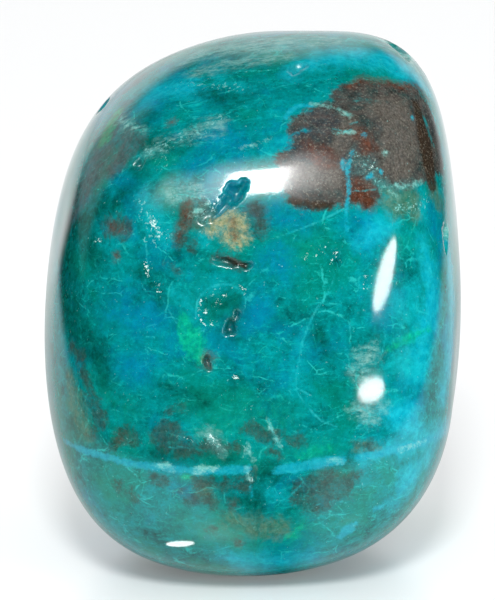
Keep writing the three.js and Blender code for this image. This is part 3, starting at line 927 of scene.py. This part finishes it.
def chrysocolla():
    material = bpy.data.materials.new("tumble_polished_chrysocolla")
    material.use_nodes = True
    tree = material.node_tree
    tree.nodes.clear()
    where = add(tree, "TexCoord").outputs["Object"]
    inMm = add(tree, "VectorMath", {0: where, "Scale": 1 / mm}, operation="SCALE").outputs[0]

    # One coat of colour, laid where a pattern runs from one level to another and only inside a mask
    def coat(under, tint, pattern, start, end, strength, inside=1.0):
        share = add(tree, "MapRange", {"Value": pattern, "From Min": start, "From Max": end,
                                       "To Max": strength}, interpolation_type="SMOOTHSTEP").outputs[0]
        share = add(tree, "Math", {0: share, 1: inside}, operation="MULTIPLY").outputs[0]
        return add(tree, "Mix", {0: share, 6: under, 7: tint}, data_type="RGBA").outputs[2]

    # Where the patterns are read: at true places, at bent ones and at combed ones
    places = {"true": inMm}
    for name, (span, amount, detail) in finish["bends"].items():
        push = add(tree, "TexNoise", {"Vector": inMm, "Scale": 1 / span, "Detail": detail}).outputs["Color"]
        push = add(tree, "VectorMath", {0: push, 1: (0.5, 0.5, 0.5)}, operation="SUBTRACT").outputs[0]
        places[name] = add(tree, "VectorMath", {0: push, 1: (amount, amount, amount), 2: inMm},
                           operation="MULTIPLY_ADD").outputs[0]
    for name, (place, turn, along) in finish["combed"].items():
        turn = [math.radians(angle) for angle in turn]
        places[name] = add(tree, "Mapping", {"Vector": places[place], "Rotation": turn,
                                             "Scale": (along, 1, 1)}).outputs[0]
    noises = {}
    for name, (place, span, detail, roughness) in finish["noises"].items():
        noises[name] = add(tree, "TexNoise", {"Vector": places[place], "Scale": 1 / span, "Detail": detail,
                                              "Roughness": roughness}).outputs["Fac"]

    # The base: one row of tones by depth, then bluer and greener stretches
    depth = 0.0
    for name, share in finish["depth"].items():
        depth = add(tree, "Math", {0: noises[name], 1: share, 2: depth}, operation="MULTIPLY_ADD").outputs[0]
    start, end = finish["depthRange"]
    depth = add(tree, "MapRange", {"Value": depth, "From Min": start, "From Max": end}).outputs[0]
    tones = add(tree, "ValToRGB", {"Fac": depth})
    while len(tones.color_ramp.elements) < len(finish["tones"]):
        tones.color_ramp.elements.new(0.5)
    for stop, (place, tone) in zip(tones.color_ramp.elements, finish["tones"]):
        stop.position = place
        stop.color = linear(tone)
    colour = tones.outputs[0]
    for tint, name, start, end, strength in finish["stretches"].values():
        colour = coat(colour, linear(tint), noises[name], start, end, strength)

    # Healed fissures along the walls of bent cells, in drifts, then strands, grains and dark specks
    start, end = finish["driftRange"]
    drifts = add(tree, "MapRange", {"Value": noises["drifts"], "From Min": start, "From Max": end},
                 interpolation_type="SMOOTHSTEP").outputs[0]
    for name, (span, width, tint, strength) in finish["fissures"].items():
        walls = add(tree, "TexVoronoi", {"Vector": places[name], "Scale": 1 / span},
                    feature="DISTANCE_TO_EDGE").outputs["Distance"]
        colour = coat(colour, linear(tint), walls, width, 0.0, strength, drifts)
    for tint, name, start, end, strength in finish["streaks"].values():
        colour = coat(colour, linear(tint), noises[name], start, end, strength)

    masks = {}
    for number, (kind, (dark, light, ragged, soft, grain, cover, thinnest)) in enumerate(minerals.items()):
        own = [number * step for step in finish["apart"]]
        own = add(tree, "VectorMath", {0: places["slow"], 1: own}).outputs[0]
        scale = finish["frayScale"] / max(ragged, finish["frayFinest"])
        stray = add(tree, "TexNoise", {"Vector": own, "Scale": scale, **finish["fray"]}).outputs["Fac"]
        stray = add(tree, "Math", {0: stray, 1: 0.5}, operation="SUBTRACT").outputs[0]
        level = add(tree, "Attribute", attribute_name=kind).outputs["Fac"]
        level = add(tree, "Math", {0: stray, 1: finish["frayReach"] * ragged, 2: level},
                    operation="MULTIPLY_ADD").outputs[0]
        start, end = finish["mixingRange"]
        tone = add(tree, "TexNoise", {"Vector": own, "Scale": 1 / grain, **finish["mixing"]}).outputs["Fac"]
        tone = add(tree, "MapRange", {"Value": tone, "From Min": start, "From Max": end}).outputs[0]
        tint = add(tree, "Mix", {0: tone, 6: linear(dark), 7: linear(light)}, data_type="RGBA").outputs[2]
        start, end = finish["thinningRange"]
        thin = noises["strands"]
        if thinnest >= finish["combedBelow"]:
            thin = add(tree, "TexNoise", {"Vector": own, **finish["thinning"]}).outputs["Fac"]
        thin = add(tree, "MapRange", {"Value": thin, "From Min": start, "From Max": end, "To Min": thinnest},
                   interpolation_type="SMOOTHSTEP").outputs[0]
        colour = coat(colour, tint, level, -soft / 2, soft / 2, cover, thin)
        masks[kind] = add(tree, "MapRange", {"Value": level, "From Min": -soft / 2,
                                             "From Max": soft / 2}).outputs[0]

    # Ironstone is grainy, with a few dark cracks
    span, width, tint, strength = finish["cracks"]
    cracks = add(tree, "TexVoronoi", {"Vector": places["kinked"], "Scale": 1 / span},
                 feature="DISTANCE_TO_EDGE").outputs["Distance"]
    cracked = add(tree, "Math", {0: masks["brown"], 1: drifts}, operation="MULTIPLY").outputs[0]
    colour = coat(colour, linear(tint), cracks, width, 0.0, strength, cracked)
    for tint, name, start, end, strength in finish["ironGrain"].values():
        colour = coat(colour, linear(tint), noises[name], start, end, strength, masks["brown"])

    # Druse: pale crumbs of crystal, and glints: painted highlights, the crystals' white sparkle painted into
    # the colour
    broken, start, end = finish["druse"]
    druse = add(tree, "Attribute", attribute_name="druse").outputs["Fac"]
    druse = add(tree, "Math", {0: noises["mottle"], 1: broken, 2: druse}, operation="MULTIPLY_ADD").outputs[0]
    druse = add(tree, "MapRange", {"Value": druse, "From Min": start, "From Max": end},
                interpolation_type="SMOOTHSTEP").outputs[0]
    boost, start, end, cover, tint = finish["crumbs"]
    crumb = add(tree, "Math", {0: druse, 1: boost, 2: noises["crumbs"]}, operation="MULTIPLY_ADD").outputs[0]
    crumb = add(tree, "MapRange", {"Value": crumb, "From Min": start, "From Max": end, "To Max": cover},
                interpolation_type="SMOOTHSTEP").outputs[0]
    colour = add(tree, "Mix", {0: crumb, 6: colour, 7: linear(tint)}, data_type="RGBA").outputs[2]
    outer, inner, boost, druseBoost, start, end, cover, tint = finish["glints"]
    glint = add(tree, "Attribute", attribute_name="glint").outputs["Fac"]
    glint = add(tree, "MapRange", {"Value": glint, "From Min": outer, "From Max": inner,
                                   "To Max": boost}).outputs[0]
    glint = add(tree, "Math", {0: druse, 1: druseBoost, 2: glint}, operation="MULTIPLY_ADD").outputs[0]
    glint = add(tree, "Math", {0: noises["glints"], 1: glint}).outputs[0]
    colour = coat(colour, linear(tint), glint, start, end, cover)

    # Pits are dull from their rims inwards, and brown stone and crumbs a little duller than the rest
    start, end = finish["pitEdge"]
    pit = add(tree, "Attribute", attribute_name="pit").outputs["Fac"]
    pit = add(tree, "MapRange", {"Value": pit, "From Min": start, "From Max": end},
              interpolation_type="SMOOTHSTEP").outputs[0]
    rough = finish["polish"]
    for mask, name in ((pit, "pit"), (masks["brown"], "brown"), (crumb, "crumb")):
        rough = add(tree, "Math", {0: mask, 1: finish["duller"][name], 2: rough},
                    operation="MULTIPLY_ADD").outputs[0]
    share, strength, height = finish["relief"]
    relief = add(tree, "Math", {0: noises["grain"], 1: share, 2: noises["mottle"]},
                 operation="MULTIPLY_ADD").outputs[0]
    relief = add(tree, "Bump", {"Height": relief, "Strength": strength, "Distance": height * mm}).outputs[0]
    relief = add(tree, "Bump", {"Height": crumb, "Strength": finish["crumbRelief"], "Distance": height * mm,
                                "Normal": relief}).outputs[0]
    shader = add(tree, "BsdfPrincipled", {"Base Color": colour, "Roughness": rough, "Normal": relief,
                                          "IOR": finish["ior"]})
    add(tree, "OutputMaterial", {"Surface": shader.outputs[0]})
    return material


stoneMesh.materials.append(chrysocolla())
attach(polishedStone, "root")
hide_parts("chrysocolla_stone")
print("finish: chrysocolla")

# The studio: white paper that ends in the dark around the stone, and runs on to a white wall behind it
studio = {
    "floorSide": 6000,  # mm
    "paperColour": "#f4f6f7",
    "paperRoughness": 0.22,
    "paperMiddle": (8, 38, 0),  # of the round of paper that the stone mirrors, mm
    "paperReach": 95,  # from there to its edge, mm
    "paperEdge": 0.15,  # how softly it ends, as a share of its reach
    "paperSpread": 0.64,  # how fast it widens behind the stone, up to the wall
    "spreadEdge": 30,  # how softly that ends, mm to each side
    "notchMiddle": 2,  # of the dark wedge that the cloth lays over the paper in front of the stone, mm to the right
    "notchSpread": 0.2,  # how fast the wedge widens towards the camera
    "notchEdge": 2.5,  # how softly it ends, mm to each side
    "paperShade": 0.35,  # painted shade: how much darker it is mirrored close to the stone, standing in for the stone's shadow on it
    "shadeReach": (60, 30),  # from its middle, where that starts and is full, mm
    "paperGlow": 0.14,  # of white, so that it stays white to its far edge
    "clothHeight": 0.2,  # mm above the paper
    "clothBlack": 0.001,
    "fill": 0.6,  # soft light from all around, as a share of white
    # What the stone mirrors above the paper: azimuths and elevations from and to, how softly each ends in
    # degrees, and its brightness as a share of white
    "mirrored": {
        "wall, left": (-200, -170, -2, 45, 14, 1.2),
        "wall, far left": (-176, -149, -2, 24, 12, 1.1),
        "wall, right": (168, 200, -2, 43, 14, 1.2),
        "wall, far right": (148, 174, -2, 27, 10, 1.1),
        "side window": (-152, -106, 2, 39, 14, 0.42),
        "window band": (-58, 30, 31, 43, 10, 0.6),
        "lamp's glow": (-44, 26, 34, 50, 14, 2.8),
        "lamp's halo": (-19, 18, 35, 57, 14, 6.0),
    },
}


def sheetOf(name, side, height, material):
    flat = bmesh.new()
    bmesh.ops.create_grid(flat, x_segments=1, y_segments=1, size=side / 2 * mm)
    bmesh.ops.translate(flat, vec=(0, 0, height * mm), verts=flat.verts)
    mesh = bpy.data.meshes.new(name)
    flat.to_mesh(mesh)
    flat.free()
    mesh.materials.append(material)
    sheet = bpy.data.objects.new(name, mesh)
    bpy.context.scene.collection.objects.link(sheet)
    return sheet


paper = bpy.data.materials.new("white_paper")
paper.use_nodes = True
paperShader = paper.node_tree.nodes["Principled BSDF"]
paperShader.inputs["Base Color"].default_value = linear(studio["paperColour"])
paperShader.inputs["Roughness"].default_value = studio["paperRoughness"]
paperShader.inputs["Emission Color"].default_value = (1, 1, 1, 1)
paperShader.inputs["Emission Strength"].default_value = studio["paperGlow"]
sheetOf("floor", studio["floorSide"], 0, paper)

# Dark cloth around the paper, which also lays painted shade on the paper close to the stone. Only the stone's
# gloss sees it, and only from above
cloth = bpy.data.materials.new("black_cloth")
cloth.use_nodes = True
weave = cloth.node_tree
weave.nodes.clear()
place = add(weave, "TexCoord").outputs["Object"]
place = add(weave, "VectorMath", {0: place, "Scale": 1 / mm}, operation="SCALE").outputs[0]
spread = add(weave, "VectorMath", {0: place, 1: studio["paperMiddle"]}, operation="SUBTRACT").outputs[0]
spread = add(weave, "VectorMath", {0: spread, 1: (1, 1, 0)}, operation="MULTIPLY").outputs[0]
spread = add(weave, "VectorMath", {0: spread}, operation="LENGTH").outputs["Value"]
past = add(weave, "MapRange", {"Value": spread,
                               "From Min": studio["paperReach"] * (1 - studio["paperEdge"]),
                               "From Max": studio["paperReach"] * (1 + studio["paperEdge"])},
           interpolation_type="SMOOTHSTEP").outputs[0]
place = add(weave, "SeparateXYZ", {0: place}).outputs
aside = add(weave, "Math", {0: place[0]}, operation="ABSOLUTE").outputs[0]
aside = add(weave, "Math", {0: place[1], 1: -studio["paperSpread"], 2: aside},
            operation="MULTIPLY_ADD").outputs[0]
aside = add(weave, "MapRange", {"Value": aside, "From Min": -studio["spreadEdge"],
                                "From Max": studio["spreadEdge"]}, interpolation_type="SMOOTHSTEP").outputs[0]
past = add(weave, "Math", {0: past, 1: aside}, operation="MULTIPLY").outputs[0]
notch = add(weave, "Math", {0: place[0], 1: studio["notchMiddle"]}, operation="SUBTRACT").outputs[0]
notch = add(weave, "Math", {0: notch}, operation="ABSOLUTE").outputs[0]
notch = add(weave, "Math", {0: place[1], 1: studio["notchSpread"], 2: notch},
            operation="MULTIPLY_ADD").outputs[0]
notch = add(weave, "MapRange", {"Value": notch, "From Min": studio["notchEdge"],
                                "From Max": -studio["notchEdge"]}, interpolation_type="SMOOTHSTEP").outputs[0]
past = add(weave, "Math", {0: past, 1: notch}, operation="MAXIMUM").outputs[0]
# Painted shade: close to the stone the cloth partly covers the paper, for the stone's shadow on it as the
# gloss sees it
shadeStart, shadeEnd = studio["shadeReach"]
shade = add(weave, "MapRange", {"Value": spread, "From Min": shadeStart, "From Max": shadeEnd,
                                "To Max": studio["paperShade"]}).outputs[0]
past = add(weave, "Math", {0: past, 1: shade}, operation="MAXIMUM").outputs[0]
below = add(weave, "NewGeometry").outputs["Backfacing"]
past = add(weave, "Math", {0: past, 1: below}, operation="SUBTRACT", use_clamp=True).outputs[0]
clear = add(weave, "BsdfTransparent").outputs[0]
black = add(weave, "BsdfDiffuse", {"Color": (studio["clothBlack"],) * 3 + (1,)}).outputs[0]
mixed = add(weave, "MixShader", {0: past, 1: clear, 2: black}).outputs[0]
add(weave, "OutputMaterial", {"Surface": mixed})
surround = sheetOf("dark_surround", studio["floorSide"], studio["clothHeight"], cloth)
surround.visible_camera = False
surround.visible_diffuse = False
surround.visible_shadow = False
surround.visible_transmission = False

# The room: white to the camera, soft white to the colours, and to the gloss only what it mirrors
world = bpy.data.worlds.new("studio_room")
bpy.context.scene.world = world
world.use_nodes = True
air = world.node_tree
air.nodes.clear()
look = add(air, "TexCoord").outputs["Generated"]
look = add(air, "SeparateXYZ", {0: look}).outputs
away = add(air, "Math", {0: look[1], 1: -1.0}, operation="MULTIPLY").outputs[0]
azimuth = add(air, "Math", {0: look[0], 1: away}, operation="ARCTAN2").outputs[0]
elevation = add(air, "Math", {0: look[2]}, operation="ARCSINE").outputs[0]
room = 0.0
for fromAzimuth, toAzimuth, fromElevation, toElevation, soft, bright in studio["mirrored"].values():
    patch = bright
    for angle, edge, inward in ((azimuth, fromAzimuth, 1), (azimuth, toAzimuth, -1),
                                (elevation, fromElevation, 1), (elevation, toElevation, -1)):
        side = add(air, "MapRange", {"Value": angle, "From Min": math.radians(edge - inward * soft / 2),
                                     "From Max": math.radians(edge + inward * soft / 2)},
                   interpolation_type="SMOOTHSTEP").outputs[0]
        patch = add(air, "Math", {0: side, 1: patch}, operation="MULTIPLY").outputs[0]
    room = add(air, "Math", {0: patch, 1: room}, operation="MAXIMUM").outputs[0]
rays = add(air, "LightPath").outputs
room = add(air, "Math", {0: room, 1: rays["Is Glossy Ray"]}, operation="MULTIPLY").outputs[0]
room = add(air, "Math", {0: rays["Is Diffuse Ray"], 1: studio["fill"], 2: room},
           operation="MULTIPLY_ADD").outputs[0]
room = add(air, "Math", {0: room, 1: rays["Is Camera Ray"]}, operation="MAXIMUM").outputs[0]
glow = add(air, "Background", {"Color": (1, 1, 1, 1), "Strength": room})
add(air, "OutputWorld", {"Surface": glow.outputs[0]})

# Lamps, each put where its reflection shows at a pixel of the photograph: the pixel, the distance from the
# stone (mm), how wide and tall it is (mm), how far it leans (degrees), how many times brighter than white
# paper it is, its shape, and whether it shows in the gloss, in the colour under it or in both
lamps = {
    "high front": ((258, 181), 300, 60, 80, 0, 42, "RECTANGLE", "both"),
    "right": ((400, 310), 300, 110, 60, 0, 18, "RECTANGLE", "colour"),
    "right glint": ((386, 273), 20, 12.5, 3.3, 22, 17, "ELLIPSE", "gloss"),
    "right glint, low": ((372, 390), 18, 7.6, 2.2, 0, 20, "ELLIPSE", "gloss"),
    "foot glint": ((180, 544), 3.4, 2.5, 0.85, 0, 15, "ELLIPSE", "gloss"),
}
for name, (pixel, distance, wide, tall, roll, bright, shape, shownIn) in lamps.items():
    spot = seenAt(*pixel)
    outward = Vector(blockNormals(np.array([spot.normalized()]))[0])
    away = (eye - spot).normalized()
    ray = (2 * outward.dot(away) * outward - away).normalized()
    light = bpy.data.lights.new(name, "AREA")
    light.shape = shape
    light.size, light.size_y = wide * mm, tall * mm
    light.energy = bright * math.pi * light.size * light.size_y
    holder = bpy.data.objects.new(name, light)
    holder.location = (spot + ray * distance + Vector((0, 0, stone["middleHeight"]))) * mm
    holder.rotation_euler = (-ray).to_track_quat("-Z", "Y").to_euler()
    holder.rotation_euler.rotate_axis("Z", math.radians(roll))
    holder.visible_camera = False
    holder.visible_diffuse = shownIn != "gloss"
    holder.visible_glossy = shownIn != "colour"
    bpy.context.scene.collection.objects.link(holder)
print("studio:", len(lamps), "lamps")

camera = bpy.data.objects.new("camera", bpy.data.cameras.new("camera"))
camera.data.lens = shot["lens"]
camera.data.sensor_width = shot["sensor"]
camera.location = (eye + Vector((0, 0, stone["middleHeight"]))) * mm
camera.rotation_euler = (-back).to_track_quat("-Z", "Y").to_euler()
camera.data.clip_start = shot["clipStart"]
bpy.context.scene.collection.objects.link(camera)
bpy.context.scene.camera = camera
bpy.context.scene.view_settings.view_transform = "Standard"
